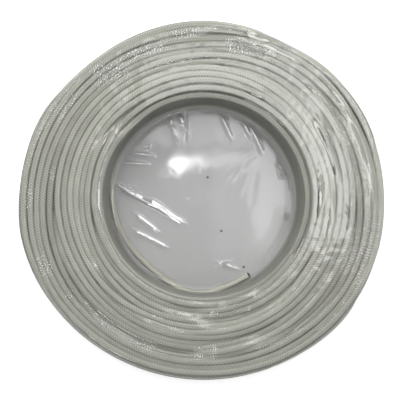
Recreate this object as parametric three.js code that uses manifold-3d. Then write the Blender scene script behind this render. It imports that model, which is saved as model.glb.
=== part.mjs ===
// A factory coil of light grey-white single-core cable with a braided sheath, wrapped in clear shrink film.
// Millimetres, +Z up. The origin is on the coil's axis, at the underside of the film.
import * as THREE from "three";
import { mergeVertices } from "three/addons/utils/BufferGeometryUtils.js";
import Module from "manifold-3d";

// The cable and how it is wound.
const CABLE_DIAMETER = 4.0;
const SHEATH_SQUASH = 0.07; // how far the soft braid of two neighbouring turns presses together
const TURNS_ACROSS = 13;
const TURNS_HIGH = 14;
const BORE_DIAMETER = 129.6;
const GROOVE_DEPTH = 1.1; // between two turns, from their crests down to where their sheaths meet
const CORE_DIAMETER = 2.1;
const CORE_LENGTH = 9.0;
const CORE_STEP = 0.8; // how far the conductor stands back from the cut
const CUT_SLANT = 18; // degrees by which the cut faces up

// The shrink film, with a wall of ten times its real thickness.
const FILM_WALL = 0.4;
const FILM_CORNER_RADIUS = 1.6;
const FILM_RIM_RADIUS = 1.6; // where the film turns from the top face down into the bore
const SKIN_FILLET_RADIUS = 5.0; // where the film leaves the wall of the bore and spans it
const VENT_DIAMETER = 1.2;

// Each vent's direction in degrees, and its distance from the axis as a share of the flat skin's radius.
const VENT_PLACES = [[77, 0.26], [-60, 0.44], [-59, 0.94]];

// Clearance between two pieces that touch on the real coil.
const CLEARANCE = 0.3;

// How finely the round shapes are divided.
const ROUND_STEPS = 40;
const FACE_CHORDS = 3; // chords over each turn that shows on the ends
const WALL_CHORDS = 2; // chords over each turn that shows on the walls
const CORNER_CHORDS = 3;
const CABLE_SIDES = 10;
const ROD_SIDES = 12;
const PATH_STEPS = 48;

const TURN_PITCH = CABLE_DIAMETER - SHEATH_SQUASH;
const BORE_RADIUS = BORE_DIAMETER / 2;
const OUTER_RADIUS = BORE_RADIUS + TURNS_ACROSS * TURN_PITCH;
const COIL_BOTTOM = FILM_WALL + CLEARANCE;
const COIL_TOP = COIL_BOTTOM + TURNS_HIGH * TURN_PITCH;
const FILM_TOP = COIL_TOP + CLEARANCE + FILM_WALL;
const FILM_OUTER_RADIUS = OUTER_RADIUS + CLEARANCE + FILM_WALL;
const FILM_BORE_RADIUS = BORE_RADIUS - CLEARANCE - FILM_WALL;
const FLAT_SKIN_RADIUS = FILM_BORE_RADIUS - SKIN_FILLET_RADIUS;

// The innermost turn of the lowest layer is the loose inner end. Its seat in the winding is left open,
// and the film's upper skin lies on it.
const SEAT_WIDTH = CABLE_DIAMETER + CLEARANCE;
const SEAT_OUTER_RADIUS = (BORE_RADIUS + SEAT_WIDTH) * Math.cos(Math.PI / ROUND_STEPS);
const SEAT_RADIUS = SEAT_OUTER_RADIUS - CLEARANCE - CABLE_DIAMETER / 2;
const INNER_END_HEIGHT = COIL_BOTTOM + CABLE_DIAMETER / 2;
const SKIN_TOP = COIL_BOTTOM + SEAT_WIDTH + FILM_WALL;

// The loose end stays in its seat between these directions, in degrees.
const SEATED_FROM = -50;
const SEATED_TO = 160;
const SEATED_STEPS = 18;

// Then it springs inwards, touches its seat once more and runs straight to its cut end. Each point has a
// direction in degrees, and how far the middle line lies inwards of the seat.
const SPRUNG_POINTS = [
  [168.6, 1.2],
  [177.8, 3.1],
  [188.8, 4.3],
  [197.9, 5.0],
  [206.4, 5.5],
  [215.5, 6.0],
  [225.6, 6.3],
  [232.4, 6.1],
  [239.0, 5.5],
  [246.4, 4.1],
  [253.4, 2.5],
  [260.5, 1.0],
  [267.5, 0.5],
  [274.0, 1.2],
  [281.3, 2.5],
  [289.1, 3.6],
  [295.2, 4.1],
  [301.2, 4.3],
];

const wasm = await Module();
wasm.setup();

// A closed geometry, as a solid that can be cut.
function solidOf(geometry) {
  const bare = geometry.clone();
  bare.deleteAttribute("normal");
  bare.deleteAttribute("uv");
  const merged = mergeVertices(bare, 1e-4);
  return new wasm.Manifold(
    new wasm.Mesh({
      numProp: 3,
      vertProperties: merged.attributes.position.array,
      triVerts: new Uint32Array(merged.index.array),
    }),
  );
}

function geometryOf(solid) {
  const mesh = solid.getMesh();
  const geometry = new THREE.BufferGeometry();
  geometry.setAttribute("position", new THREE.BufferAttribute(mesh.vertProperties, 3));
  geometry.setIndex(new THREE.BufferAttribute(mesh.triVerts, 1));
  geometry.computeVertexNormals();
  return geometry;
}

function pointAt(degrees, radius, height) {
  const angle = THREE.MathUtils.degToRad(degrees);
  return new THREE.Vector3(radius * Math.cos(angle), radius * Math.sin(angle), height);
}

// Turns a profile of (radius, height) points about the Z axis.
function turned(profile) {
  return new THREE.LatheGeometry(profile, ROUND_STEPS).rotateX(Math.PI / 2);
}

// One side of the winding's section: a row of turns from one corner to the next, each a few chords over a
// round crest, with a groove between neighbours. The outward side is to the right of the way it runs.
function rowOfTurns(from, to, turns, chords) {
  const along = to.clone().sub(from);
  const inward = new THREE.Vector2(-along.y, along.x).normalize();
  const crest = Math.sin((Math.PI / chords) * Math.floor(chords / 2));
  const points = [];
  for (let step = 1; step < turns * chords; step++) {
    const lift = Math.sin((Math.PI / chords) * (step % chords)) / crest;
    const depth = GROOVE_DEPTH * (1 - lift);
    points.push(
      from.clone().addScaledVector(along, step / (turns * chords)).addScaledVector(inward, depth),
    );
  }
  return points;
}

// The wound cable: the sides of its section, with the corner turns rounded off, turned about the axis. The
// loose end's seat is cut out of the lower inner corner.
function coilGeometry() {
  const seatBottom = new THREE.Vector2(BORE_RADIUS + SEAT_WIDTH, COIL_BOTTOM);
  const outerBottom = new THREE.Vector2(OUTER_RADIUS, COIL_BOTTOM);
  const outerTop = new THREE.Vector2(OUTER_RADIUS, COIL_TOP);
  const innerTop = new THREE.Vector2(BORE_RADIUS, COIL_TOP);
  const innerBottom = new THREE.Vector2(BORE_RADIUS, COIL_BOTTOM + SEAT_WIDTH);
  const seatCorner = new THREE.Vector2(BORE_RADIUS + SEAT_WIDTH, COIL_BOTTOM + SEAT_WIDTH);
  const profile = [
    ...rowOfTurns(seatBottom, outerBottom, TURNS_ACROSS - 1, FACE_CHORDS),
    ...rowOfTurns(outerBottom, outerTop, TURNS_HIGH, WALL_CHORDS),
    ...rowOfTurns(outerTop, innerTop, TURNS_ACROSS, FACE_CHORDS),
    ...rowOfTurns(innerTop, innerBottom, TURNS_HIGH - 1, WALL_CHORDS),
    ...rowOfTurns(innerBottom, seatCorner, 1, FACE_CHORDS),
    ...rowOfTurns(seatCorner, seatBottom, 1, FACE_CHORDS),
  ];
  profile.push(profile[0].clone());
  return turned(profile);
}

// Points of an arc, both ends included, with its angles in quarter turns.
function arc(x, y, radius, startQuarter, endQuarter) {
  const points = [];
  for (let step = 0; step <= CORNER_CHORDS; step++) {
    const share = step / CORNER_CHORDS;
    const angle = ((startQuarter + (endQuarter - startQuarter) * share) * Math.PI) / 2;
    points.push(new THREE.Vector2(x + radius * Math.cos(angle), y + radius * Math.sin(angle)));
  }
  return points;
}

// One side of the film's wall, from the axis at the bottom, round the coil, over the rim and down the bore
// to the axis again at the upper skin. The inset is 0 outside and the film's wall inside.
function filmProfile(inset) {
  const corner = FILM_CORNER_RADIUS;
  const rim = FILM_RIM_RADIUS;
  const fillet = SKIN_FILLET_RADIUS;
  return [
    new THREE.Vector2(0, inset),
    ...arc(FILM_OUTER_RADIUS - corner, corner, corner - inset, -1, 0),
    ...arc(FILM_OUTER_RADIUS - corner, FILM_TOP - corner, corner - inset, 0, 1),
    ...arc(FILM_BORE_RADIUS + rim, FILM_TOP - rim, rim - inset, 1, 2),
    ...arc(FLAT_SKIN_RADIUS, SKIN_TOP + fillet, fillet + inset, 0, -1),
    new THREE.Vector2(0, SKIN_TOP - inset),
  ];
}

// The film: a hollow wrap with round vents through its upper skin.
function filmGeometry() {
  let film = solidOf(turned(filmProfile(0))).subtract(solidOf(turned(filmProfile(FILM_WALL))));
  const ventRadius = VENT_DIAMETER / 2;
  for (const [degrees, share] of VENT_PLACES) {
    const vent = new THREE.CylinderGeometry(ventRadius, ventRadius, FILM_WALL * 3, ROD_SIDES);
    const place = pointAt(degrees, FLAT_SKIN_RADIUS * share, SKIN_TOP - FILM_WALL / 2);
    vent.rotateX(Math.PI / 2).translate(...place.toArray());
    film = film.subtract(solidOf(vent));
  }
  return geometryOf(film);
}

// The middle line of the loose inner end, from its seat to its cut end.
function innerEndPath() {
  const points = [];
  for (let step = 0; step <= SEATED_STEPS; step++) {
    const degrees = SEATED_FROM + ((SEATED_TO - SEATED_FROM) * step) / SEATED_STEPS;
    points.push(pointAt(degrees, SEAT_RADIUS, INNER_END_HEIGHT));
  }
  for (const [degrees, inwards] of SPRUNG_POINTS) {
    points.push(pointAt(degrees, SEAT_RADIUS - inwards, INNER_END_HEIGHT));
  }
  return new THREE.CatmullRomCurve3(points);
}

const endPath = innerEndPath();
const cutEnd = endPath.getPointAt(1);
const cutDirection = endPath.getTangentAt(1);
const towardsCut = new THREE.Quaternion().setFromUnitVectors(new THREE.Vector3(0, 1, 0), cutDirection);

// A rod along the last stretch of the inner end. Its far face lies behind the cut by the given step.
function rodAtCutEnd(diameter, length, step) {
  const rod = new THREE.CylinderGeometry(diameter / 2, diameter / 2, length, ROD_SIDES);
  const middle = cutEnd.clone().addScaledVector(cutDirection, -step - length / 2);
  return { rod, middle };
}

// What the slanted cut takes away: a block beyond the cut, whose near face leans back at the top.
function cutAwayBlock() {
  const side = CABLE_DIAMETER * 3;
  const sideways = new THREE.Vector3(0, 0, 1).cross(cutDirection).normalize();
  const leanBack = THREE.MathUtils.degToRad(-CUT_SLANT);
  const slant = new THREE.Quaternion().setFromAxisAngle(sideways, leanBack);
  const facing = cutDirection.clone().applyQuaternion(slant);
  const middle = cutEnd.clone().addScaledVector(facing, side / 2);
  const block = new THREE.BoxGeometry(side, side, side);
  block.applyQuaternion(towardsCut).applyQuaternion(slant).translate(...middle.toArray());
  return block;
}

// The loose end: a round tube along its path, cut off at a slant, with a hole for the conductor in the cut.
function innerEndGeometry() {
  const section = new THREE.Shape();
  for (let side = 0; side < CABLE_SIDES; side++) {
    const angle = (side / CABLE_SIDES) * 2 * Math.PI;
    const x = (CABLE_DIAMETER / 2) * Math.cos(angle);
    const y = (CABLE_DIAMETER / 2) * Math.sin(angle);
    if (side === 0) section.moveTo(x, y);
    else section.lineTo(x, y);
  }
  section.closePath();
  const tube = new THREE.ExtrudeGeometry(section, {
    extrudePath: endPath,
    steps: PATH_STEPS,
    bevelEnabled: false,
  });
  const holeDepth = CORE_STEP + CORE_LENGTH + CLEARANCE;
  const hole = rodAtCutEnd(CORE_DIAMETER + 2 * CLEARANCE, holeDepth + CABLE_DIAMETER, -CABLE_DIAMETER);
  hole.rod.applyQuaternion(towardsCut).translate(...hole.middle.toArray());
  return geometryOf(solidOf(tube).subtract(solidOf(hole.rod)).subtract(solidOf(cutAwayBlock())));
}

const cableFinish = new THREE.MeshStandardMaterial({ color: 0xc9c8bd, roughness: 0.62, metalness: 0 });
const coreFinish = new THREE.MeshStandardMaterial({ color: 0x6b665c, roughness: 0.4, metalness: 0.9 });
const filmFinish = new THREE.MeshStandardMaterial({
  color: 0xf4f6f5,
  roughness: 0.12,
  metalness: 0,
  transparent: true,
  opacity: 0.2,
});

function piece(name, geometry, finish) {
  const mesh = new THREE.Mesh(geometry, finish);
  mesh.name = name;
  return mesh;
}

function conductorPiece() {
  const core = rodAtCutEnd(CORE_DIAMETER, CORE_LENGTH, CORE_STEP);
  const mesh = piece("conductor", core.rod, coreFinish);
  mesh.quaternion.copy(towardsCut);
  mesh.position.copy(core.middle);
  return mesh;
}

const part = new THREE.Group();
part.add(piece("cable_coil", coilGeometry(), cableFinish));
part.add(piece("cable_inner_end", innerEndGeometry(), cableFinish));
part.add(conductorPiece());
part.add(piece("shrink_film", filmGeometry(), filmFinish));

export default part;
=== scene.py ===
"""A factory coil of braided single-core cable in clear shrink film, seen from straight above.

Everything is worked out in millimetres and goes to Blender in metres, in the frame of the CAD model. The
winding is one long cable, so its turns are swept tubes that sink under each other, and the film is one
closed bag that is drawn over them.
"""

import math

import bpy
import numpy as np
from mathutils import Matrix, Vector

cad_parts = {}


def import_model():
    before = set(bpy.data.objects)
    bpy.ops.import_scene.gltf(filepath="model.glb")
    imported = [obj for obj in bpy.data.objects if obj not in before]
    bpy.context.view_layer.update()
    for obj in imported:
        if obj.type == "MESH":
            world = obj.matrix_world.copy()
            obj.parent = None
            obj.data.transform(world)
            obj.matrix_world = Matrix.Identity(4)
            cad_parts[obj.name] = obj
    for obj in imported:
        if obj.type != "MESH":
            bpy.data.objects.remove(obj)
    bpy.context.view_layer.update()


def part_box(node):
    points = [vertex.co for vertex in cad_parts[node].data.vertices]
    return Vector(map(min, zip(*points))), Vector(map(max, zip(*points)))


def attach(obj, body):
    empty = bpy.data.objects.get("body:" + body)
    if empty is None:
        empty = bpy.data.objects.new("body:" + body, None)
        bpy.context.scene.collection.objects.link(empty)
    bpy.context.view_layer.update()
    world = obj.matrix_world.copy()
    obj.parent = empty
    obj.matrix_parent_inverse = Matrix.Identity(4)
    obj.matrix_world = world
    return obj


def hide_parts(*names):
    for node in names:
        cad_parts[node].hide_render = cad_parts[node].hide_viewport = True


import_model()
scene = bpy.context.scene

MM = 0.001

# The cable and the winding.
CABLE_DIAMETER = 4.0
BORE_RADIUS = 64.8
SEAT_WIDTH = 4.3  # the open seat of the loose end, in the lower inner corner
TURN_RADIUS = 1.95  # half of a turn's thickness, pressed by its neighbours
CONTACT = 3.8  # the middle lines of two turns in different layers come no closer

coil_low, coil_high = (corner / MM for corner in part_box("cable_coil"))
COIL_BOTTOM = coil_low.z
COIL_TOP = coil_high.z
OUTER_RADIUS = coil_high.x

# How finely the turns are drawn: steps round the axis and sides of the section.
SAMPLES = 300  # along a turn of the upper face
SIDES = 16
OUTER_WALL_STEPS = 240
INNER_WALL_STEPS = 200
HIDDEN_STEPS = 150
MIDDLE_STEPS = 96
PLAIN_SIDES = 10  # of a turn that shows less
HIDDEN_SIDES = 8

LOW = 1  # marks the points of a turn that the neighbouring turns have pushed down

# The turns that show on the upper face, from the outside in. A point has a direction in degrees and the
# middle line's distance from the axis. Directions above 360 carry on into the next lap. Rings close on
# themselves, and the ends of lengths sink under their neighbours.
RINGS = [
    [(0, 113.5), (30, 113.3), (45, 112.7), (60, 110.3), (75, 108.8), (90, 107.7), (120, 107.3),
     (150, 108.4), (180, 110.0), (200, 111.8), (210, 112.5), (240, 111.4), (270, 111.1), (300, 112.8),
     (330, 114.2), (345, 114.4)],
    [(0, 110.8), (30, 108.8), (60, 106.7), (75, 104.4), (90, 102.0), (105, 102.1), (120, 102.9),
     (150, 104.1), (180, 105.8), (200, 108.1), (210, 108.6), (240, 107.9), (270, 107.8), (300, 109.7),
     (330, 110.8), (345, 111.0)],
    [(0, 87.2), (30, 88.6), (45, 89.4), (60, 89.7), (75, 88.6), (90, 87.2), (120, 87.4), (150, 88.4),
     (180, 88.6), (210, 88.3), (240, 88.9), (270, 88.8), (300, 88.9), (330, 87.9)],
    [(0, 66.8, LOW), (30, 66.6, LOW), (60, 66.4, LOW), (90, 66.2, LOW), (120, 66.1, LOW),
     (133, 65.5, LOW), (150, 66.1, LOW), (180, 66.0, LOW), (210, 65.4, LOW), (240, 65.2, LOW),
     (270, 65.2, LOW), (300, 66.0, LOW), (330, 66.4, LOW)],
]
LENGTHS = [
    [(62, 110.2, LOW), (70, 110.9), (90, 111.3), (120, 110.5), (150, 112.3), (165, 113.4), (180, 114.4),
     (195, 115.6), (210, 115.4, LOW), (240, 113.3, LOW), (270, 113.2, LOW), (300, 114.5, LOW),
     (318, 115.6), (332, 115.9, LOW), (338, 115.4, LOW)],
    [(66, 108.1, LOW), (80, 106.0, LOW), (90, 105.0, LOW), (108, 105.0, LOW)],
    [(-14, 108.3, LOW), (0, 108.1), (12, 107.0), (30, 105.3), (60, 102.5), (75, 100.4), (90, 98.3),
     (120, 98.6), (150, 99.9), (180, 102.0), (195, 103.7), (210, 104.7), (240, 104.6), (270, 104.4),
     (300, 105.4), (330, 106.8), (345, 105.9), (360, 104.3), (390, 102.1), (405, 101.3, LOW),
     (414, 100.6, LOW)],
    [(-66, 102.7, LOW), (-45, 103.3), (-30, 102.8), (-15, 101.8), (0, 99.8), (30, 99.0), (60, 98.5),
     (75, 96.8), (90, 95.2), (120, 94.9), (150, 96.3), (180, 97.6), (195, 99.2), (210, 100.4),
     (240, 101.5), (270, 101.3), (300, 100.2), (330, 99.0, LOW), (343, 98.5, LOW)],
    [(-146, 98.7, LOW), (-135, 98.4, LOW), (-120, 98.5, LOW), (-90, 98.2), (-60, 96.9), (-30, 95.6),
     (0, 95.6), (30, 95.6), (60, 94.3), (75, 93.0), (90, 91.7), (120, 91.2), (150, 92.4), (180, 92.7),
     (210, 92.1), (240, 92.2, LOW), (270, 91.9, LOW), (288, 91.6, LOW)],
    [(194, 95.9, LOW), (210, 96.1), (240, 95.4), (270, 95.0), (300, 93.2), (330, 91.8), (360, 91.4),
     (390, 91.7), (405, 92.4, LOW), (412, 92.4, LOW)],
    [(28, 86.0, LOW), (45, 86.0), (60, 86.2, LOW), (80, 86.0, LOW)],
    [(-134, 86.0, LOW), (-120, 85.7, LOW), (-90, 85.3), (-60, 85.2), (-30, 83.9), (0, 83.2), (30, 82.5),
     (60, 83.0), (90, 83.7), (120, 83.5), (150, 84.4), (180, 84.6), (210, 84.1), (225, 83.8),
     (240, 82.5), (270, 81.8), (300, 81.7), (330, 80.1), (360, 79.6), (390, 79.3, LOW), (420, 79.2),
     (450, 79.8), (480, 79.6), (510, 80.4), (540, 80.8), (570, 80.8), (585, 80.5, LOW), (592, 80.3, LOW)],
    [(137, 73.5, LOW), (150, 73.8), (180, 73.7), (210, 74.0), (240, 74.5), (270, 74.9), (300, 75.8),
     (330, 75.7), (360, 75.9), (390, 76.1), (420, 75.6), (450, 75.7), (480, 75.1), (495, 76.1),
     (510, 77.1), (540, 77.5), (570, 77.7), (585, 78.4), (600, 78.6), (630, 78.0), (660, 78.5, LOW),
     (676, 78.0, LOW)],
    [(138, 70.7), (150, 69.8), (180, 69.3), (210, 68.2), (240, 67.6), (270, 67.9), (300, 68.6),
     (330, 68.3, LOW), (352, 67.6, LOW)],
    [(203, 71.2, LOW), (210, 70.8, LOW), (240, 70.9, LOW), (270, 71.6), (300, 72.0), (330, 71.7),
     (360, 71.4), (390, 71.4), (420, 70.9), (450, 70.7), (480, 70.3), (490, 70.2), (496, 70.2)],
]
SINK_SPAN = 9  # degrees over which the end of a turn sinks out of sight
SINK_DEPTH = 4.2
DEEPEST = SINK_DEPTH + 1.2  # no turn sinks further
SETTLE_REACH, SETTLE_SPREAD = 7, 2.6  # steps over which a turn's sinking is evened out
INNERMOST_DEPTH = 2.3  # the bore's uppermost turn lies below the face

# The coil's outline from above, as (degrees, distance from the axis).
OUTLINE = [(0, 114.9), (10, 114.8), (20, 116.6), (35, 116.1), (55, 112.8), (65, 112.6), (85, 113.9),
           (105, 113.6), (120, 113.0), (138, 113.0), (150, 115.0), (165, 116.2), (180, 118.1),
           (190, 119.4), (200, 119.3), (220, 117.7), (240, 116.6), (270, 116.3), (300, 117.4),
           (322, 118.8), (337, 116.0), (345, 116.8), (353, 116.0)]
TENT = (148, 9, 1.6)  # where the film stands off the coil: direction, spread in degrees and distance
SWELL = (156, 14.0, 1.7)  # the same, where the wall itself bulges
OUTLINE_DEPTH = 22.0  # from this depth on, the outer wall is a plain round one
WALL_INSET = 0.6  # how far the plain wall lies inside the CAD solid's

rng = np.random.default_rng(7)


# Curves

def through(points, degrees, closed):
    """A smooth curve through (degrees, value) points, read at the given directions."""
    x = np.array([p[0] for p in points], float)
    y = np.array([p[1] for p in points], float)
    if closed:
        x = np.concatenate([x[-2:] - 360, x, x[:2] + 360])
        y = np.concatenate([y[-2:], y, y[:2]])
    slope = np.gradient(y, x)
    k = np.clip(np.searchsorted(x, degrees, side="right") - 1, 0, len(x) - 2)
    step = x[k + 1] - x[k]
    t = np.clip((degrees - x[k]) / step, 0, 1)
    blend = t * t * (3 - 2 * t)
    bend_in = (t * (1 - t) ** 2) * step * slope[k]
    bend_out = (t * t * (t - 1)) * step * slope[k + 1]
    return y[k] + (y[k + 1] - y[k]) * blend + bend_in + bend_out


def smooth_step(x):
    x = np.clip(x, 0, 1)
    return x * x * (3 - 2 * x)


def bell(reach, spread):
    """The weights of a bell curve, over as many steps each way as its reach."""
    weights = np.exp(-0.5 * (np.arange(-reach, reach + 1) / spread) ** 2)
    return weights / weights.sum()


def blend_rows(rows, weights, mode):
    """Rows of values, each blended with the rows before and after it."""
    reach = len(weights) // 2
    padded = np.pad(rows, ((reach, reach), (0, 0)), mode=mode)
    return sum(weight * padded[k:k + len(rows)] for k, weight in enumerate(weights))


def all_round(steps):
    """Directions all the way round the axis, in degrees."""
    return np.arange(steps) * 360 / steps


def wander(degrees, size, slowest=1, fastest=6):
    """A smooth random wave round the axis, which closes on itself."""
    total = np.zeros_like(degrees, float)
    for waves in range(slowest, fastest + 1):
        phase = rng.uniform(0, 2 * math.pi)
        total += rng.normal() / waves**0.6 * np.sin(np.radians(degrees) * waves + phase)
    return total * size / math.sqrt(fastest - slowest + 1)


def ring_points(degrees, radius, height):
    """Points from directions, distances from the axis and heights."""
    angle = np.radians(degrees)
    level = np.broadcast_to(height, angle.shape)
    return np.stack([radius * np.cos(angle), radius * np.sin(angle), level], 1)


# Tubes

class TubeMesh:
    """Collects swept tubes in one mesh, with a map of length and side, and a shade for each tube."""

    def __init__(self):
        self.points, self.faces, self.maps, self.shades = [], [], [], []
        self.count = 0

    def sweep(self, path, radius, sides, closed, relief=None):
        """Adds a tube. The relief adds to its radius, from the length along it and the share round it."""
        n = len(path)
        if closed:
            tangent = np.roll(path, -1, 0) - np.roll(path, 1, 0)
        else:
            tangent = np.gradient(path, axis=0)
        tangent /= np.linalg.norm(tangent, axis=1)[:, None]
        side = np.cross(tangent, [0.0, 0.0, 1.0])
        side /= np.linalg.norm(side, axis=1)[:, None]
        up = np.cross(side, tangent)
        step = np.linalg.norm(np.diff(path, axis=0, append=path[:1] if closed else path[-1:]), axis=1)
        length = np.concatenate([[0], np.cumsum(step)])
        start = rng.uniform(0, 50)
        turn = np.arange(sides) / sides * 2 * math.pi
        reach = radius + np.zeros((n, sides))
        if relief is not None:
            reach = reach + relief(length[:n, None] + start, turn[None, :] / (2 * math.pi))
        points = (
            path[:, None]
            + reach[..., None]
            * (np.cos(turn)[None, :, None] * side[:, None] + np.sin(turn)[None, :, None] * up[:, None])
        )
        self.points.append(points.reshape(-1, 3))
        rows = n if closed else n - 1
        i = np.arange(rows)[:, None]
        j = np.arange(sides)[None, :]
        after = (i + 1) % n
        beside = (j + 1) % sides
        quads = np.stack([i * sides + j, i * sides + beside, after * sides + beside, after * sides + j], -1)
        self.faces.append(quads.reshape(-1, 4) + self.count)
        along = length + start
        low_u = np.repeat(along[:rows], sides)
        high_u = np.repeat(along[1:rows + 1], sides)
        low_v = np.tile(np.arange(sides) / sides, rows)
        high_v = low_v + 1 / sides
        corners = [(low_u, low_v), (low_u, high_v), (high_u, high_v), (high_u, low_v)]
        self.maps.append(np.stack([np.stack(c, -1) for c in corners], 1).reshape(-1, 2))
        self.shades.append(np.full(n * sides, rng.uniform(0, 1)))
        self.count += n * sides

    def piece(self, name, material, node):
        faces = np.concatenate(self.faces)
        obj = mesh_piece(name, np.concatenate(self.points), faces, material, node)
        mesh = obj.data
        mesh.uv_layers.new(name="cable_map").data.foreach_set("uv", np.concatenate(self.maps).ravel())
        shade = mesh.attributes.new("turn_shade", "FLOAT", "POINT")
        shade.data.foreach_set("value", np.concatenate(self.shades).astype(np.float32))
        return obj


def add_object(name, data):
    obj = bpy.data.objects.new(name, data)
    scene.collection.objects.link(obj)
    return obj


def band(first, second, count):
    """The faces between two rings of points, each given by the number of its first point."""
    beside = [(k + 1) % count for k in range(count)]
    return [(first + k, first + n, second + n, second + k) for k, n in enumerate(beside)]


def mesh_piece(name, points, faces, material, node):
    """A piece from points in millimetres, with the CAD node that it stands for, if it has one."""
    mesh = bpy.data.meshes.new(name)
    mesh.from_pydata((np.asarray(points) * MM).tolist(), [], [list(f) for f in faces])
    mesh.validate()
    mesh.materials.append(material)
    mesh.shade_smooth()
    obj = add_object(name, mesh)
    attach(obj, "root")
    if node:
        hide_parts(node)
    return obj


# Materials

class Shader:
    """A short way to wire the nodes of a material or of the world."""

    def __init__(self, owner, output="OutputMaterial"):
        owner.use_nodes = True
        self.owner = owner
        self.tree = owner.node_tree
        self.tree.nodes.clear()
        self.output = self.node(output)

    def node(self, kind, inputs=None, **settings):
        made = self.tree.nodes.new("ShaderNode" + kind)
        for key, value in settings.items():
            setattr(made, key, value)
        for key, value in (inputs or {}).items():
            if isinstance(value, bpy.types.NodeSocket):
                self.tree.links.new(value, made.inputs[key])
            else:
                made.inputs[key].default_value = value
        return made

    def math(self, operation, a, b=0.0, c=0.0):
        return self.node("Math", {0: a, 1: b, 2: c}, operation=operation).outputs[0]

    def fade(self, value, start, end, low, high):
        return self.node("MapRange", {0: value, 1: start, 2: end, 3: low, 4: high}).outputs[0]

    def noise(self, scale, detail, where=None):
        if where is None:
            where = self.node("TexCoord").outputs["Object"]
        return self.node("TexNoise", {"Vector": where, "Scale": scale, "Detail": detail}).outputs[0]

    def mark(self, name):
        return self.node("Attribute", attribute_name=name).outputs["Fac"]

    def ramp(self, factor, *stops):
        made = self.node("ValToRGB", {0: factor})
        elements = made.color_ramp.elements
        while len(elements) < len(stops):
            elements.new(0.5)
        for element, (place, colour) in zip(elements, stops):
            element.position = place
            element.color = (*colour, 1)
        return made.outputs[0]

    def finish(self, surface):
        self.tree.links.new(surface, self.output.inputs["Surface"])
        return self.owner


BRAID_PITCH = 3.4  # millimetres along the cable in which one yarn comes round to the same rib
BRAID_YARNS = 4  # yarns that run each way round the cable


def braid_height(shader):
    """The weave's height, from the cable's map: two sets of yarns that cross as ribs and chevrons."""
    where = shader.node("SeparateXYZ", {0: shader.node("UVMap", uv_map="cable_map").outputs[0]})
    along = shader.math("MULTIPLY", where.outputs[0], 2 * math.pi / BRAID_PITCH)
    around = shader.math("MULTIPLY", where.outputs[1], math.pi * BRAID_YARNS)
    yarns = []
    for direction in ("ADD", "SUBTRACT"):
        phase = shader.math(direction, along, around)
        yarns.append(shader.math("ABSOLUTE", shader.math("SINE", phase)))
    return shader.math("SMOOTH_MAX", yarns[0], yarns[1], 0.2)


def braid_material(name, dark, light, rough):
    """A fibre braid with painted shade between its yarns, and a tone of its own for each turn."""
    shader = Shader(bpy.data.materials.new(name))
    weave = braid_height(shader)
    patches = shader.noise(55.0, 3.0)
    fibres = shader.noise(2400.0, 2.0)
    turn = shader.mark("turn_shade")
    tone = shader.math("MULTIPLY_ADD", turn, 0.45, shader.math("MULTIPLY", patches, 0.35))
    tone = shader.math("ADD", tone, shader.math("MULTIPLY", fibres, 0.25))
    clean = shader.ramp(tone, (0.2, dark), (0.85, light))
    # Painted shade: the colour darkens where the weave is low, between the yarns.
    groove_shade = shader.ramp(weave, (0.45, (0.60, 0.60, 0.54)), (0.9, (1.0, 1.0, 1.0)))
    colour = shader.node("Mix", {0: 1.0, 6: clean, 7: groove_shade}, data_type="RGBA", blend_type="MULTIPLY")
    height = shader.math("MULTIPLY_ADD", fibres, 0.12, weave)
    bump = shader.node("Bump", {"Strength": 0.8, "Distance": 0.0002, "Height": height})
    sheath = shader.node(
        "BsdfPrincipled",
        {
            "Base Color": colour.outputs[2],
            "Roughness": rough,
            "Specular IOR Level": 0.3,
            "Sheen Weight": 0.15,
            "Sheen Roughness": 0.5,
            "Normal": bump.outputs[0],
        },
    )
    return shader.finish(sheath.outputs[0])


def plain_material(name, dark, light, scale, rough, metallic=0.0):
    """A material whose colour and bump follow one fine noise."""
    shader = Shader(bpy.data.materials.new(name))
    noise = shader.noise(scale, 3.0)
    colour = shader.ramp(noise, (0.3, dark), (0.7, light))
    bump = shader.node("Bump", {"Strength": 0.5, "Distance": 0.00005, "Height": noise})
    surface = shader.node(
        "BsdfPrincipled",
        {"Base Color": colour, "Roughness": rough, "Metallic": metallic, "Normal": bump.outputs[0]},
    )
    return shader.finish(surface.outputs[0])


FILM_CLEARNESS = (0.915, 0.915, 0.915)
SKIN_CLEARNESS_SHADED = (0.85, 0.85, 0.85)  # darker across the bore and down its wall: painted shade over the bore's floor
FILM_GLOSS = 0.075  # the share of light that the film throws back
CREASE_GLOSS = 0.42
GRAZING_GLOSS = 0.16  # what is added where it is seen edge on
RIBS_PER_TURN = 370  # the braid presses its ribs into the film


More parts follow.
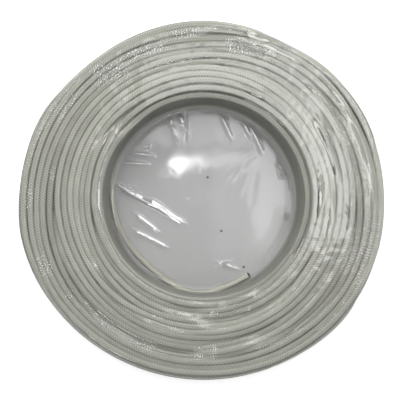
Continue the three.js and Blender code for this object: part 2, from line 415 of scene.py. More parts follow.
def film_material():
    """Clear film: mostly see-through, with a gloss whose finest wrinkles are a bump."""
    shader = Shader(bpy.data.materials.new("clear_shrink_film"))
    place = shader.node("TexCoord").outputs["Object"]
    crumple = shader.mark("crumple")
    shine = shader.mark("shine")
    bore_skin_and_shade = shader.mark("bore_skin_and_shade")
    soft = shader.noise(70.0, 2.0)
    dents = shader.node(
        "TexVoronoi", {"Vector": place, "Scale": 560.0, "Randomness": 1.0}, feature="DISTANCE_TO_EDGE"
    ).outputs[0]

    # Polar coordinates, so that ribs and pleats run out from the axis.
    flat = shader.node("SeparateXYZ", {0: place})
    level = shader.node("CombineXYZ", {0: flat.outputs[0], 1: flat.outputs[1]}).outputs[0]
    outwards = shader.node("VectorMath", {0: level}, operation="NORMALIZE").outputs[0]
    distance = shader.node("VectorMath", {0: level}, operation="LENGTH").outputs["Value"]
    around = shader.node("VectorMath", {0: outwards, "Scale": 0.1}, operation="SCALE").outputs[0]
    around = shader.node("SeparateXYZ", {0: around})
    polar = shader.node(
        "CombineXYZ",
        {0: around.outputs[0], 1: around.outputs[1], 2: shader.math("MULTIPLY", distance, 0.3)},
    ).outputs[0]
    pleats = shader.noise(330.0, 1.0, polar)
    pleated = shader.fade(shader.noise(26.0, 1.0), 0.42, 0.62, 0.0, 0.09)
    pleated = shader.math("MULTIPLY", pleated, shader.math("MULTIPLY_ADD", bore_skin_and_shade, -0.93, 1.0))
    angle = shader.math("ARCTAN2", flat.outputs[1], flat.outputs[0])
    ribs = shader.math("SINE", shader.math("MULTIPLY", angle, RIBS_PER_TURN))

    pressed = shader.math("MULTIPLY_ADD", ribs, 0.22, shader.math("MULTIPLY", dents, 1.6))
    still = shader.math("MULTIPLY", soft, shader.math("MULTIPLY_ADD", bore_skin_and_shade, -0.975, 1.0))
    height = shader.math("MULTIPLY_ADD", pressed, crumple, still)
    height = shader.math("MULTIPLY_ADD", pleats, pleated, height)
    bump = shader.node("Bump", {"Strength": 1.0, "Distance": 0.0006, "Height": height})
    gloss = shader.node(
        "BsdfGlossy", {"Color": (0.98, 0.98, 0.98, 1), "Roughness": 0.06, "Normal": bump.outputs[0]}
    )
    # Painted shade: the bore's skin lets less through than the rest of the film.
    tint = shader.ramp(bore_skin_and_shade, (0, FILM_CLEARNESS), (1, SKIN_CLEARNESS_SHADED))
    clear = shader.node("BsdfTransparent", {"Color": tint})
    broken = shader.fade(shader.noise(700.0, 1.0), 0.4, 0.6, 0.25, 1.3)
    share = shader.math("MULTIPLY", shine, broken)
    share = shader.math("MULTIPLY_ADD", share, CREASE_GLOSS - FILM_GLOSS, FILM_GLOSS)
    grazing = shader.math("POWER", shader.node("LayerWeight", {"Blend": 0.5}).outputs["Facing"], 4.0)
    grazing = shader.math("MULTIPLY", grazing, shader.math("SUBTRACT", 1.0, bore_skin_and_shade))
    share = shader.math("MULTIPLY_ADD", grazing, GRAZING_GLOSS, share)
    mix = shader.node("MixShader", {0: share, 1: clear.outputs[0], 2: gloss.outputs[0]})
    return shader.finish(mix.outputs[0])


# The winding

PRESSED = 2.8  # how square the winding presses its turns: 2 is round


def pressed_section(_along, around):
    """What the section of a pressed turn adds to a round one at its corners."""
    turn = around * 2 * math.pi
    square = (np.abs(np.cos(turn)) ** PRESSED + np.abs(np.sin(turn)) ** PRESSED) ** (-1 / PRESSED)
    return TURN_RADIUS * (square - 1)


def upper_turns():
    """Every visible turn of the upper face, as tracks of radius and depth over the unrolled direction."""
    tracks = []
    for closed, turns in ((True, RINGS), (False, LENGTHS)):
        for points in turns:
            first = 0 if closed else points[0][0] - SINK_SPAN
            last = 360 if closed else points[-1][0] + SINK_SPAN
            count = round((last - first) * SAMPLES / 360)
            begin = round(first * SAMPLES / 360)
            degrees = (begin + np.arange(count)) * 360 / SAMPLES
            held = np.clip(degrees, points[0][0], points[-1][0]) if not closed else degrees
            radius = through(points, held, closed) + wander(degrees, 0.09, 5, 14)
            marks = [(p[0], 1.0 if len(p) > 2 else 0.0) for p in points]
            low = through(marks, held, closed)
            sink = np.zeros(count)
            if not closed:
                from_end = np.minimum(degrees - degrees[0], degrees[-1] - degrees)
                sink = SINK_DEPTH * (1 - smooth_step(from_end / (2 * SINK_SPAN)))
            tracks.append({"begin": begin, "closed": closed, "degrees": degrees, "radius": radius,
                           "low": low, "depth": sink, "rank": low + sink + rng.uniform(0, 0.05)})
    innermost = tracks[len(RINGS) - 1]
    innermost["depth"] = innermost["depth"] + INNERMOST_DEPTH
    return tracks


def settle(tracks):
    """Lets every turn that has no room in the face sink until it clears its neighbours."""
    sections = [[] for _ in range(SAMPLES)]
    for track in tracks:
        for k in range(len(track["degrees"])):
            sections[(track["begin"] + k) % SAMPLES].append((track["rank"][k], track, k))
    for section in sections:
        section.sort(key=lambda entry: entry[0])
        placed = []
        for _, track, k in section:
            radius, depth = track["radius"][k], track["depth"][k]
            for other_radius, other_depth in placed:
                apart = abs(radius - other_radius)
                if apart < CONTACT:
                    depth = max(depth, other_depth + math.sqrt(CONTACT**2 - apart**2))
            depth = min(depth, DEEPEST)
            placed.append((radius, depth))
            track["depth"][k] = depth
    weights = bell(SETTLE_REACH, SETTLE_SPREAD)
    for track in tracks:
        mode = "wrap" if track["closed"] else "edge"
        track["depth"] = np.convolve(np.pad(track["depth"], SETTLE_REACH, mode=mode), weights, "valid")
        track["depth"] += wander(track["degrees"], 0.12, 2, 9)
        track["depth"] = np.maximum(track["depth"], -0.05)


def outer_wall_radius(degrees, depth):
    """The middle line of the outer wall's turns, which follow the outline near the top."""
    near_top = through(OUTLINE, degrees, True) - TURN_RADIUS
    direction, spread, size = SWELL
    swell = size * np.exp(-(((degrees - direction) / spread) ** 2)) * smooth_step(depth / 5)
    rest = OUTER_RADIUS - TURN_RADIUS - WALL_INSET
    share = smooth_step(depth / OUTLINE_DEPTH)
    return near_top * (1 - share) + rest * share + swell


def wall_rows(top_depth, bottom_height, rows):
    """Heights of the turns in a wall, from its uppermost row down."""
    top = COIL_TOP - TURN_RADIUS - top_depth
    return np.linspace(top, bottom_height, rows)


braid = braid_material("grey_white_braid", (0.35, 0.354, 0.312), (0.57, 0.577, 0.515), 0.72)
tracks = upper_turns()
settle(tracks)

upper = TubeMesh()
for track in tracks:
    path = ring_points(track["degrees"], track["radius"], COIL_TOP - TURN_RADIUS - track["depth"])
    upper.sweep(path, TURN_RADIUS, SIDES, track["closed"], pressed_section)
upper.piece("turns_upper_face", braid, "cable_coil")

# Rows of turns in each wall, and the depth of its uppermost row.
OUTER_ROWS, OUTER_TOP_DEPTH = 13, 3.1
INNER_ROWS, INNER_TOP_DEPTH = 11, 5.7

outer = TubeMesh()
ring = all_round(OUTER_WALL_STEPS)
for height in wall_rows(OUTER_TOP_DEPTH, COIL_BOTTOM + TURN_RADIUS, OUTER_ROWS):
    depth = COIL_TOP - TURN_RADIUS - height
    radius = outer_wall_radius(ring, depth) + wander(ring, 0.22, 2, 9)
    lift = wander(ring, 0.16, 2, 8)
    outer.sweep(ring_points(ring, radius, height + lift), TURN_RADIUS + 0.05, PLAIN_SIDES, True)
outer.piece("turns_outer_wall", braid, "cable_coil")

inner = TubeMesh()
ring = all_round(INNER_WALL_STEPS)
for height in wall_rows(INNER_TOP_DEPTH, COIL_BOTTOM + SEAT_WIDTH + TURN_RADIUS, INNER_ROWS):
    radius = BORE_RADIUS + TURN_RADIUS + 0.3 + wander(ring, 0.4, 2, 8)
    lift = wander(ring, 0.16, 2, 8)
    inner.sweep(ring_points(ring, radius, height + lift), TURN_RADIUS + 0.08, PLAIN_SIDES, True)
inner.piece("turns_inner_wall", braid, "cable_coil")

LOWER_TURNS = 11  # beside the lowest turn of the outer wall
lower = TubeMesh()
inner_edge = BORE_RADIUS + SEAT_WIDTH + TURN_RADIUS
outer_edge = OUTER_RADIUS - TURN_RADIUS - CONTACT
for radius in np.linspace(inner_edge, outer_edge, LOWER_TURNS):
    drift = wander(ring, 0.2, 2, 8)
    lift = np.abs(wander(ring, 0.14, 2, 8))
    height = COIL_BOTTOM + TURN_RADIUS + lift
    lower.sweep(ring_points(ring, radius + drift, height), TURN_RADIUS, PLAIN_SIDES, True)
lower.piece("turns_lower_face", braid, "cable_coil")

# The next layer under the upper face shows only in the gaps.
SECOND_LAYER_TURNS, SECOND_LAYER_DEPTH = 11, 4.6
hidden = TubeMesh()
ring = all_round(HIDDEN_STEPS)
for radius in np.linspace(BORE_RADIUS + 5.6, OUTER_RADIUS - 6.2, SECOND_LAYER_TURNS):
    height = COIL_TOP - TURN_RADIUS - SECOND_LAYER_DEPTH + wander(ring, 0.2, 2, 7)
    path = ring_points(ring, radius + wander(ring, 0.4, 2, 7), height)
    hidden.sweep(path, TURN_RADIUS + 0.1, HIDDEN_SIDES, True)
hidden.piece("turns_second_layer", braid, "cable_coil")


def packed_middle():
    """What the visible turns hide, as one plain solid of the same cable, coloured far darker than its braid:
    painted shade in the gaps between the turns.
    """
    inside, outside = BORE_RADIUS + 3.2, OUTER_RADIUS - 7.0
    bottom, top = COIL_BOTTOM + SEAT_WIDTH + 1.0, COIL_TOP - 7.5
    profile = [(inside, bottom), (outside, bottom), (outside, top), (inside, top)]
    points = np.concatenate([ring_points(all_round(MIDDLE_STEPS), r, z) for r, z in profile])
    faces = []
    for corner in range(len(profile)):
        after = (corner + 1) % len(profile)
        faces += band(corner * MIDDLE_STEPS, after * MIDDLE_STEPS, MIDDLE_STEPS)
    # Painted shade: the hidden cable is drawn dark, so that the gaps between the turns look deep.
    shaded = plain_material("packed_cable_painted_shade", (0.10, 0.10, 0.09), (0.16, 0.16, 0.14), 300.0, 0.8)
    return mesh_piece("turns_packed_middle", points, faces, shaded, "cable_coil")


packed_middle()


# The loose inner end, on the CAD solid's middle line to within 0.02 mm.
ROUND_STEPS = 40  # of the CAD solid, whose chords limit its seat
SEAT_OUTER_RADIUS = (BORE_RADIUS + SEAT_WIDTH) * math.cos(math.pi / ROUND_STEPS)
SEAT_RADIUS = SEAT_OUTER_RADIUS - 0.3 - CABLE_DIAMETER / 2
INNER_END_HEIGHT = COIL_BOTTOM + CABLE_DIAMETER / 2
SEATED_FROM, SEATED_TO, SEATED_STEPS = -50, 160, 18
SPRUNG_POINTS = [  # direction in degrees, and cable diameters inwards of the seat
    (168.6, 0.3), (177.8, 0.78), (188.8, 1.08), (197.9, 1.25), (206.4, 1.38), (215.5, 1.5),
    (225.6, 1.57), (232.4, 1.52), (239.0, 1.38), (246.4, 1.02), (253.4, 0.62), (260.5, 0.25),
    (267.5, 0.12), (274.0, 0.3), (281.3, 0.62), (289.1, 0.9), (295.2, 1.02), (301.2, 1.08),
]
CUT_SLANT = 18  # degrees by which the cut faces up
CUT_REACH = 3  # how far behind the cut the tube is leaned back with it
CUT_SIDES = 24
HOLLOW_RADIUS, HOLLOW_DEPTH = 1.1, 3.0


def inner_end_path():
    seated = [(d, SEAT_RADIUS) for d in np.linspace(SEATED_FROM, SEATED_TO, SEATED_STEPS + 1)]
    sprung = [(d, SEAT_RADIUS - share * CABLE_DIAMETER) for d, share in SPRUNG_POINTS]
    points = seated + sprung
    degrees = np.arange(points[0][0], points[-1][0], 0.45)
    degrees = np.append(degrees, points[-1][0])
    return ring_points(degrees, through(points, degrees, False), INNER_END_HEIGHT)


def braid_relief(along, around):
    """The same weave as in the braid's bump, as real relief."""
    phase = along * 2 * math.pi / BRAID_PITCH
    turn = around * math.pi * BRAID_YARNS
    ribs = np.maximum(np.abs(np.sin(phase + turn)), np.abs(np.sin(phase - turn)))
    return 0.09 * (ribs - 0.8)


end_path = inner_end_path()
end_tube = TubeMesh()
end_tube.sweep(end_path, 1.96, 18, False, braid_relief)
# The loose end is the same cable as the coil, drawn with a far lighter copy of its braid: painted light that
# makes up for the film and the bore's shade over it.
end_braid_painted_light = braid_material("cream_braid_painted_light", (0.72, 0.70, 0.60), (0.92, 0.905, 0.80), 0.6)
end_piece = end_tube.piece("loose_inner_end", end_braid_painted_light, "cable_inner_end")

cut_point = end_path[-1]
cut_way = end_path[-1] - end_path[-2]
cut_way /= np.linalg.norm(cut_way)
cut_side = np.cross(cut_way, [0.0, 0.0, 1.0])
cut_up = np.cross(cut_side, cut_way)
lean = math.tan(math.radians(CUT_SLANT))


def slant_cut(mesh):
    """Leans the last rings of the tube back at the top, as the cutter left them."""
    for vertex in mesh.vertices:
        offset = np.array(vertex.co) / MM - cut_point
        behind = -offset @ cut_way
        if np.linalg.norm(offset) < 2 * CUT_REACH and behind < CUT_REACH:
            share = 1 - max(behind, 0) / CUT_REACH
            vertex.co += Vector(cut_way * (-(offset @ cut_up) * lean * share * MM))


slant_cut(end_piece.data)


def cut_disc(radius, back):
    """Points of a circle in the slanted plane of the cut, the given distance behind it."""
    turn = np.arange(CUT_SIDES) / CUT_SIDES * 2 * math.pi
    across = np.cos(turn)[:, None] * cut_side + np.sin(turn)[:, None] * cut_up
    tilt = -(np.sin(turn) * lean * radius)[:, None] * cut_way
    return cut_point + across * radius + tilt - cut_way * back


def end_insulation():
    """The insulation inside the braid, drawn near-black: a rim at the cut and the hollow that the conductor
    sits in.
    """
    loops = [cut_disc(1.92, 0.12), cut_disc(1.72, 0.0), cut_disc(1.22, 0.05),
             cut_disc(HOLLOW_RADIUS, 0.6), cut_disc(HOLLOW_RADIUS, HOLLOW_DEPTH)]
    points = np.concatenate(loops + [[cut_point - cut_way * HOLLOW_DEPTH]])
    faces = []
    for loop in range(len(loops) - 1):
        faces += band(loop * CUT_SIDES, (loop + 1) * CUT_SIDES, CUT_SIDES)
    bottom = (len(loops) - 1) * CUT_SIDES
    faces += [(bottom + k, bottom + (k + 1) % CUT_SIDES, len(points) - 1) for k in range(CUT_SIDES)]
    dark = plain_material("dark_insulation", (0.010, 0.010, 0.010), (0.022, 0.021, 0.020), 900.0, 0.55)
    return mesh_piece("insulation_at_cut", points, faces, dark, None)


insulation = end_insulation()


def strands():
    """Fine strands, one in the middle and two rings round it, that end a little behind the cut."""
    # Painted shade: the tinned strands are coloured near-black, as they look in the recess behind the cut.
    metal = plain_material("tinned_strands_painted_shade", (0.05, 0.047, 0.043), (0.11, 0.105, 0.095), 700.0, 0.38, 0.9)
    bundle = TubeMesh()
    for ring_radius, count in ((0.0, 1), (0.4, 6), (0.8, 12)):
        for k in range(count):
            turn = 2 * math.pi * (k + 0.5 * (count == 12)) / count
            offset = (math.cos(turn) * cut_side + math.sin(turn) * cut_up) * ring_radius
            tip = cut_point + offset - cut_way * (0.8 + rng.uniform(0, 0.35))
            path = np.array([tip - cut_way * 2.0, tip - cut_way, tip - cut_way * 0.08, tip, tip])
            reach = np.array([0.2, 0.2, 0.2, 0.13, 0.01])[:, None]
            path[-1] += cut_way * 0.01
            bundle.sweep(path, reach, 8, False)
    return bundle.piece("conductor_strands", metal, "conductor")


conductor = strands()


# The film

FILM_GAP = 0.25  # between the film and the crests it lies on
RADIAL_STEP = 0.7
FILM_STEPS = 360  # round the axis
FACE_ROWS = 74  # rows of points across the upper face
UNDERSIDE_HEIGHT = 0.12
CORNER_ROUND = 1.6  # at the foot of the outer wall
SHOULDER, SHOULDER_DROP = 0.955, 3.0  # the share of the way out where the face rounds off, and by how much
RIM_ROUND = 1.4  # at the rim of the bore
SKIN_HEIGHT = 5.35
FILLET = 2.2  # at the foot of the bore's wall
VENT_RADIUS, VENT_RIM = 0.45, 0.28  # of a pinhole, and of the bead round it

# Straight creases that stand up in the low skin: from and to as x and y, half width, height.
CREASES = [
    ((-62, 11), (-13, -17), 1.5, 0.62),
    ((-58, 6), (-36, -5), 0.9, 0.4),
    ((-38, -1), (-24, -10), 2.0, 0.5),
    ((-47, -11), (-31, -23), 1.2, 0.62),
    ((-49, -22), (-25, -34), 1.2, 0.62),
    ((-60, 25), (-40, 24), 1.2, 0.5),
    ((-52, 32), (-36, 30), 1.2, 0.5),
    ((-24, 60), (-18, 42), 1.9, 0.5),
    ((-17, 60), (-11, 46), 2.2, 0.6),
    ((-12, 60), (-12, 40), 1.0, -0.4),
    ((13, 58), (20, 42), 1.6, 0.45),
    ((28, 55), (33, 43), 1.6, 0.44),
    ((33, 53), (41, 33), 1.6, 0.44),
    ((52, 25), (57, 18), 0.9, 0.55),
    ((55, 21), (59, 14), 0.8, 0.5),
    ((56, -12), (61, -14), 0.9, 0.55),
    ((9, -44), (24, -49), 0.9, 0.55),
    ((18, 12), (34, 30), 2.4, -0.05),
    ((12, -2), (24, 18), 2.8, -0.06),
    ((24, 0), (32, 20), 2.4, 0.05),
    ((34, -4), (37, 20), 2.2, -0.05),
]
CREASE_SHINE = (0.25, 0.55)  # the heights at which a crease starts to shine and shines most

# Places where the film over the turns is crumpled: direction, distance, spreads in degrees and millimetres,
# and how much.
CRUMPLES = [
    (129, 106.5, 2.0, 3.0, 1.0), (108, 100.5, 3.0, 3.0, 0.7), (118, 101, 6.0, 3.0, 0.8),
    (128, 99, 3.5, 3.5, 1.0), (123, 94, 2.0, 3.5, 1.0), (146, 104, 5.0, 3.0, 0.7),
    (96, 106, 4.0, 2.5, 0.6), (171, 97, 3.0, 2.0, 0.5), (70, 100, 6.0, 3.0, 0.9),
    (77, 99.5, 3.0, 4.0, 0.9), (61, 109.5, 1.2, 2.0, 1.0),
    (282, 75.5, 7.0, 1.6, 1.0), (288, 73, 2.5, 2.5, 0.9), (268, 98, 1.5, 4.0, 0.9),
    (274, 98, 1.2, 4.0, 0.6), (318, 72.5, 3.0, 2.0, 0.3), (339, 72.5, 2.0, 2.0, 0.3),
    (203, 109, 4.0, 4.0, 0.6), (216, 105, 2.0, 4.0, 0.5), (235, 72.5, 2.0, 1.5, 0.6),
    (232, 101, 3.0, 3.0, 0.45), (247, 101, 4.0, 3.0, 0.5), (178, 111, 6.0, 2.5, 0.5),
    (132, 66, 14.0, 1.6, 0.4), (160, 65.5, 9.0, 1.6, 0.8), (92, 66, 12.0, 1.6, 0.6),
    (306, 71, 6.0, 2.0, 0.25), (348, 59, 2.0, 2.0, 0.9), (17, 57, 3.0, 2.5, 0.8),
    (24, 57, 2.0, 2.0, 0.9), (171, 50, 4.0, 5.0, 0.3), (136.5, 53, 4.0, 2.2, 0.7),
    (113, 54, 4.0, 4.5, 0.5), (103.5, 51.4, 3.5, 6.0, 0.5), (145, 34, 4.0, 3.0, 0.3),
    (92, 62.5, 20.0, 1.2, 0.6), (288, 48, 6.0, 1.8, 0.8), (-12.5, 59.5, 2.0, 1.4, 1.0),
]
DENTS = [  # the same, where the film is dented but no shinier
    (12, 99.5, 9.0, 3.5, 0.9), (32, 100.5, 8.0, 3.0, 0.7), (-12, 102, 9.0, 3.5, 0.9),
    (-2, 99, 6.0, 3.0, 0.9), (0, 111, 25.0, 3.0, 0.5), (150, 112, 20.0, 3.0, 0.5),
]

VENTS = [(77, 15.3), (-60, 26.0), (-59, 55.5)]  # direction and distance of the pinholes


def face_heights(degrees, radii):
    """The upper face's own height under every point of the film, from the turns below it."""
    height = np.full((SAMPLES, len(radii)), COIL_TOP - 6.0)
    for track in tracks:
        for k in range(len(track["degrees"])):
            column = (track["begin"] + k) % SAMPLES
            across = np.abs(radii - track["radius"][k])
            near = across < TURN_RADIUS
            crest = COIL_TOP - TURN_RADIUS - track["depth"][k]
            top = crest + np.sqrt(TURN_RADIUS**2 - across[near] ** 2)
            height[column, near] = np.maximum(height[column, near], top)
    wrapped = np.vstack([height, height[:1]])
    place = degrees * SAMPLES / 360
    below = place.astype(int)
    share = (place - below)[:, None]
    return wrapped[below] * (1 - share) + wrapped[below + 1] * share


def span(height, reach):
    """The film's height over the crests: it bridges the grooves and sags a little between them."""
    widest = height.copy()
    for shift in range(1, reach + 1):
        widest[:, shift:] = np.maximum(widest[:, shift:], height[:, :-shift])
        widest[:, :-shift] = np.maximum(widest[:, :-shift], height[:, shift:])
    padded = np.pad(widest, ((0, 0), (reach, reach)), mode="edge")
    weights = bell(reach, reach / 2)
    smooth = np.stack([np.convolve(row, weights, "valid") for row in padded])
    return np.maximum(blend_rows(smooth, bell(6, 2.5), "wrap"), height)


def crease_height(x, y):
    """How far the straight creases lift the low skin at each point."""
    total = np.zeros_like(x)
    for (x0, y0), (x1, y1), width, rise in CREASES:
        along = np.array([x1 - x0, y1 - y0], float)
        size = np.linalg.norm(along)
        along /= size
        t = (x - x0) * along[0] + (y - y0) * along[1]
        off = -(x - x0) * along[1] + (y - y0) * along[0]
        ends = smooth_step((t + 4) / 8) * smooth_step((size - t + 4) / 8)
        total += rise * np.exp(-((off / width) ** 2)) * ends
    return total


class Ripple:
    """Broad random waves of the low skin, the same for every row."""

    def __init__(self):
        self.waves = [
            (rng.uniform(0, math.pi), rng.uniform(14, 42), rng.uniform(0, 2 * math.pi)) for _ in range(9)
        ]

    def __call__(self, x, y):
        total = np.zeros_like(x)
        for angle, wave, phase in self.waves:
            across = x * math.cos(angle) + y * math.sin(angle)
            total += wave * np.sin(across * 2 * math.pi / wave + phase)
        return 0.0002 * total


RIPPLE = Ripple()


def edge_pleats(degrees, radius):
    """Short pleats where the low skin meets the wall of the bore."""
    pleats = wander(degrees, 1.0, 14, 46)[:, None]
    return 0.11 * pleats * smooth_step((radius - 38) / 20)


LIFTED = (-34, 34, 49, 0.5)  # where the skin starts to rise early: direction, spread, distance and rise


def edge_lift(degrees, radius, flat):
    """How far the skin has risen before it meets the wall, where it starts to rise early."""
    direction, spread, start, rise = LIFTED
    turn = (degrees - direction + 180) % 360 - 180
    share = np.clip((radius - start) / (flat - start), 0, 1)
    return (rise * np.exp(-((turn / spread) ** 4)) * share**1.5)[:, None]


def marked(places, degrees, radius):
    """How strongly a list of places marks each point, from 0 to 1."""
    total = np.zeros(radius.shape)
    for direction, distance, spread, width, amount in places:
        turn = (degrees - direction + 180) % 360 - 180
        total += amount * np.exp(-((turn / spread) ** 2) - ((radius - distance) / width) ** 2)
    return np.clip(total, 0, 1)


def film_rows(degrees):
    """The film's radius and height round the coil, row by row, from the underside to the low skin's middle."""
    grid = degrees[:, None]
    ones = np.ones_like(grid)
    rows = []
    outline = through(OUTLINE, degrees, True)[:, None]
    tent = (TENT[2] * np.exp(-(((degrees - TENT[0]) / TENT[1]) ** 2)))[:, None]

    for radius in np.concatenate([np.arange(3, 63, 5.0), np.linspace(66, OUTER_RADIUS - 3, 14)]):
        rise = UNDERSIDE_HEIGHT + 0.1 * (radius < 62) * np.abs(wander(degrees, 1.0, 5, 22))[:, None]
        rows.append((radius * ones, rise * ones))

    wall = np.concatenate([[0.35, 1.1, 2.4], np.linspace(5, COIL_TOP - 5, 26)])
    folds = np.abs(np.stack([wander(degrees, 1, 3, 30) for _ in wall]))
    folds = blend_rows(folds, bell(9, 3.0), "edge")
    for height, fold in zip(wall, folds):
        depth = COIL_TOP - TURN_RADIUS - height
        body = outer_wall_radius(degrees, depth)[:, None] + TURN_RADIUS
        corner = CORNER_ROUND - math.sqrt(CORNER_ROUND**2 - max(CORNER_ROUND - height, 0) ** 2)
        lift = FILM_GAP + tent * smooth_step((height - 20) / 25) + 0.25 * fold[:, None]
        rows.append((body + lift - corner, height * ones))

    rim = BORE_RADIUS - FILM_GAP
    radii = np.arange(rim - 1, OUTER_RADIUS + 3, RADIAL_STEP / 2)
    heights = span(face_heights(degrees, radii), 7) + FILM_GAP * 0.6
    start = rim + RIM_ROUND
    edge = outline + FILM_GAP + tent - 0.6
    for share in np.linspace(1, 0, FACE_ROWS):
        radius = start + (edge - start) * share
        height = np.array([np.interp(r, radii, h) for r, h in zip(radius[:, 0], heights)])[:, None]
        beyond = max(share - SHOULDER, 0) / (1 - SHOULDER)
        rows.append((radius, height - SHOULDER_DROP * (1 - math.sqrt(max(1 - beyond**2, 0)))))
    last_height = rows[-1][1]
    for turn in (0.35, 0.7, 1.0):
        angle = turn * math.pi / 2
        radius = start - RIM_ROUND * math.sin(angle)
        rows.append((radius * ones, last_height - RIM_ROUND * (1 - math.cos(angle))))
    for height in np.linspace(COIL_TOP - 6, SKIN_HEIGHT + FILLET, 17):
        hug = -0.15 + 0.16 * wander(degrees, 1.0, 4, 20)[:, None]
        rows.append((np.minimum(rim + hug, rim) * ones, height * ones))
    flat = rim - FILLET
    for turn in np.linspace(0.2, 1.0, 6):
        angle = turn * math.pi / 2
        radius = (flat + FILLET * math.cos(angle)) * ones
        height = (SKIN_HEIGHT + FILLET * (1 - math.sin(angle))) * ones
        rows.append((radius, height + edge_lift(degrees, flat, flat)))
    pleats = edge_pleats(degrees, np.full((len(degrees), 1), 59.0))
    angle = np.radians(grid)
    for radius in np.concatenate([np.arange(flat - 0.8, 20, -0.8), np.arange(20, 1.0, -1.6)]):
        x, y = radius * np.cos(angle), radius * np.sin(angle)
        fade = smooth_step((flat - radius) / 3.0)
        drape = crease_height(x, y) * fade + RIPPLE(x, y) * fade
        drape += pleats * smooth_step((radius - 40) / 17) * fade
        rows.append((radius * ones, SKIN_HEIGHT + drape + edge_lift(degrees, radius, flat)))
    return rows


def film_piece():
    degrees = all_round(FILM_STEPS)
    rows = film_rows(degrees)
    points, shine, crumple, bore_skin_and_shade = [], [], [], []
    for radius, height in rows:
        radius = np.broadcast_to(radius, (FILM_STEPS, 1))[:, 0]
        height = np.broadcast_to(height, (FILM_STEPS, 1))[:, 0]
        points.append(ring_points(degrees, radius, height))
        above = smooth_step((height - 3.0) / 2.0)
        ridge = crease_height(radius * np.cos(np.radians(degrees)), radius * np.sin(np.radians(degrees)))
        on_crease = smooth_step((np.abs(ridge) - CREASE_SHINE[0]) / (CREASE_SHINE[1] - CREASE_SHINE[0]))
        on_crease *= height < SKIN_HEIGHT + 2
        crumpled = marked(CRUMPLES, degrees, radius)
        shine.append(np.maximum(0.75 * crumpled, 1.35 * on_crease) * above)
        crumple.append(np.maximum(crumpled, marked(DENTS, degrees, radius)) * above)
        # The bore's skin, which carries painted shade: fully at its foot, less up the bore's wall.
        wall_share = 0.45 + 0.55 * smooth_step((11.0 - height) / 3.0)
        in_bore = smooth_step((BORE_RADIUS + 0.5 - radius) / 1.0) * smooth_step((COIL_TOP - 4 - height) / 4.0)
        bore_skin_and_shade.append(in_bore * wall_share)
    points = np.concatenate(points + [[[0, 0, UNDERSIDE_HEIGHT], [0, 0, rows[-1][1].mean()]]])
    faces = []
    for row in range(len(rows) - 1):
        faces += band(row * FILM_STEPS, (row + 1) * FILM_STEPS, FILM_STEPS)
    first, last = len(points) - 2, len(points) - 1
    top = (len(rows) - 1) * FILM_STEPS
    for k in range(FILM_STEPS):
        beside = (k + 1) % FILM_STEPS
        faces += [(beside, k, first), (top + k, top + beside, last)]
    obj = mesh_piece("shrink_wrap", points, faces, film_material(), "shrink_film")
    for name, marks in (("shine", shine), ("crumple", crumple), ("bore_skin_and_shade", bore_skin_and_shade)):
        values = np.concatenate(marks + [marks[-1][:2]]).astype(np.float32)
        obj.data.attributes.new(name, "FLOAT", "POINT").data.foreach_set("value", values)
    return obj


film_piece()


def vent_rims():
    """The pinholes in the low skin, each with the thick dark rim that the hot needle leaves."""
    rims = TubeMesh()
    turn = all_round(16)
    for direction, distance in VENTS:
        angle = math.radians(direction)
        middle = [distance * math.cos(angle), distance * math.sin(angle), SKIN_HEIGHT + 0.1]
        rims.sweep(ring_points(turn, VENT_RADIUS, 0.0) + middle, VENT_RIM, 6, True)
    dark = plain_material("vent_rim", (0.012, 0.012, 0.012), (0.03, 0.03, 0.03), 900.0, 0.4)
    return rims.piece("vent_rims", dark, "shrink_film")


vent_rims()


# Camera

CAMERA_HEIGHT = 576.0
CAMERA_OFFSET = (-1.9, -0.95)
LENS = 73.7


def camera():
    data = bpy.data.cameras.new("camera")
    data.lens = LENS
    data.sensor_width = 36
    data.clip_start, data.clip_end = 0.01, 20
    obj = add_object("camera", data)
    obj.location = (CAMERA_OFFSET[0] * MM, CAMERA_OFFSET[1] * MM, CAMERA_HEIGHT * MM)
    scene.camera = obj


camera()


# Stage and light

# The floor, in metres: half its width, its drop below the film, and where its glow comes up.
FLOOR_HALF = 3.0
FLOOR_DROP = 0.0002
GLOW_FROM, GLOW_TO = 0.104, 0.112
FLOOR_GLOW = 0.6


def floor(half):
    """A pale floor, white beside the coil, which it neither lights nor takes a shadow from."""
    mesh = bpy.data.meshes.new("floor")
    corners = [(-half, -half, 0), (half, -half, 0), (half, half, 0), (-half, half, 0)]
    mesh.from_pydata(corners, [], [(0, 1, 2, 3)])
    shader = Shader(bpy.data.materials.new("pale_floor"))
    place = shader.node("TexCoord").outputs["Object"]
    distance = shader.node("VectorMath", {0: place}, operation="LENGTH").outputs["Value"]
    glow = shader.fade(distance, GLOW_FROM, GLOW_TO, 0.0, FLOOR_GLOW)
    paper = shader.node(
        "BsdfPrincipled",
        {
            "Base Color": (0.92, 0.92, 0.92, 1),
            "Roughness": 0.9,
            "Emission Color": (1.0, 1.0, 1.0, 1),
            "Emission Strength": glow,
        },
    )
    # From below, the floor doesn't hide the coil's underside.
    open_below = shader.node("BsdfTransparent")
    below = shader.node("NewGeometry").outputs["Backfacing"]
    sheet = shader.node("MixShader", {0: below, 1: paper.outputs[0], 2: open_below.outputs[0]})
    mesh.materials.append(shader.finish(sheet.outputs[0]))
    obj = add_object("floor", mesh)
    obj.location.z = -FLOOR_DROP
    obj.visible_diffuse = False
    obj.visible_shadow = False


def softbox(name, shape, width, height, radiance):
    """A softbox that looks straight down, with the power that gives it the named radiance."""
    data = bpy.data.lights.new(name, "AREA")
    data.shape = shape
    data.size, data.size_y = width, height
    data.energy = radiance * math.pi * width * height
    return add_object(name, data)


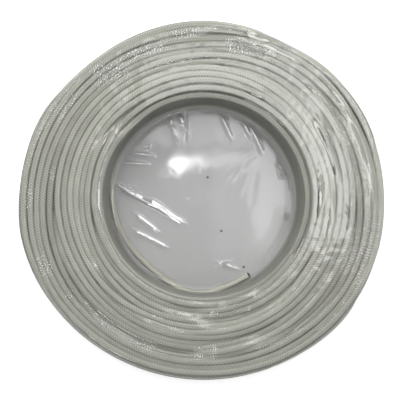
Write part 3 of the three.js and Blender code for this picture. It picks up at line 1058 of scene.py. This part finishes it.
def panel(name, direction, elevation, distance, size, radiance):
    """A softbox that looks at the coil."""
    obj = softbox(name, "RECTANGLE", *size, radiance)
    a, e = math.radians(direction), math.radians(elevation)
    aim = Vector((0, 0, 0.03))
    obj.location = aim + distance * Vector(
        (math.cos(a) * math.cos(e), math.sin(a) * math.cos(e), math.sin(e))
    )
    obj.rotation_mode = "QUATERNION"
    obj.rotation_quaternion = (obj.location - aim).to_track_quat("Z", "Y")
    return obj


def glint(name, direction, elevation, size, radiance):
    """A small softbox that shows only as a glint in the film's creases."""
    panel(name, direction, elevation, 1.0, size, radiance).visible_diffuse = False


CEILING = 1200.0
PANEL_STEP = 6.0  # no two of the softboxes lie in one plane

# Softboxes on the ceiling: name, shape, the x and the y stretch of the low skin that mirror it, and radiance.
SKIN_PANELS = [
    ("veil_faint", "RECTANGLE", (-70, 112), (-52, 66), 0.28),
    ("veil_middle", "RECTANGLE", (8, 110), (-40, 54), 0.4),
    ("veil_right", "RECTANGLE", (36, 108), (-36, 70), 1.25),
    ("veil_coil", "RECTANGLE", (68, 112), (-34, 84), 1.8),
    ("veil_back", "RECTANGLE", (-50, 90), (68, 112), 1.9),
    ("veil_top", "RECTANGLE", (-44, 44), (38, 63), 1.15),
    ("lamp", "ELLIPSE", (-23, -12), (18, 28), 7.5),
    ("lamp_tail", "ELLIPSE", (-20, 2), (23, 29), 3.2),
    ("lamp_glow", "ELLIPSE", (-16, 40), (22, 32), 1.3),
]


def mirrored_panel(name, shape, across, up, height, radiance):
    """A softbox on the ceiling, placed by the stretch of the low skin that mirrors it to the camera."""
    reach = (height - SKIN_HEIGHT) / (CAMERA_HEIGHT - SKIN_HEIGHT)
    (left, right), (front, back) = (
        [v + (v - eye) * reach for v in stretch] for stretch, eye in zip((across, up), CAMERA_OFFSET)
    )
    obj = softbox(name, shape, (right - left) * MM, (back - front) * MM, radiance)
    obj.location = ((left + right) / 2 * MM, (front + back) / 2 * MM, height * MM)


# The studio's brightness over the sine of the elevation: dim straight down, a bright belt of pale floor up to
# the horizon, and a sky that grows brighter towards the zenith.
STUDIO = [(-1.0, 0.12), (-0.4, 0.10), (-0.25, 0.45), (0.03, 0.5), (0.1, 0.2), (1.0, 0.33)]


def world():
    """The studio round the coil, as a ramp over the elevation."""
    shader = Shader(bpy.data.worlds.new("studio"), "OutputWorld")
    rise = shader.node("SeparateXYZ", {0: shader.node("TexCoord").outputs["Generated"]}).outputs[2]
    stops = [((sine + 1) / 2, (value, value, value)) for sine, value in STUDIO]
    strength = shader.ramp(shader.fade(rise, -1.0, 1.0, 0.0, 1.0), *stops)
    light = shader.node("Background", {0: (1.0, 1.0, 1.0, 1), 1: strength})
    scene.world = shader.finish(light.outputs[0])


floor(FLOOR_HALF)
world()

# The key lights the turns, and the film's glints come from the smaller softboxes.
panel("key", 96, 68, 0.57, (0.55, 0.55), 3.35).visible_glossy = False
glint("glint_right", 16, 60, (0.46, 0.18), 6.0)
glint("glint_top_right", 60, 60, (0.24, 0.22), 6.0)
glint("glint_top_left", 150, 56, (0.16, 0.16), 6.0)
glint("glint_bottom_left", 239, 59, (0.16, 0.16), 6.0)

for level, (name, shape, across, up, radiance) in enumerate(SKIN_PANELS):
    mirrored_panel(name, shape, across, up, CEILING + PANEL_STEP * level, radiance)

scene.view_settings.view_transform = "Standard"
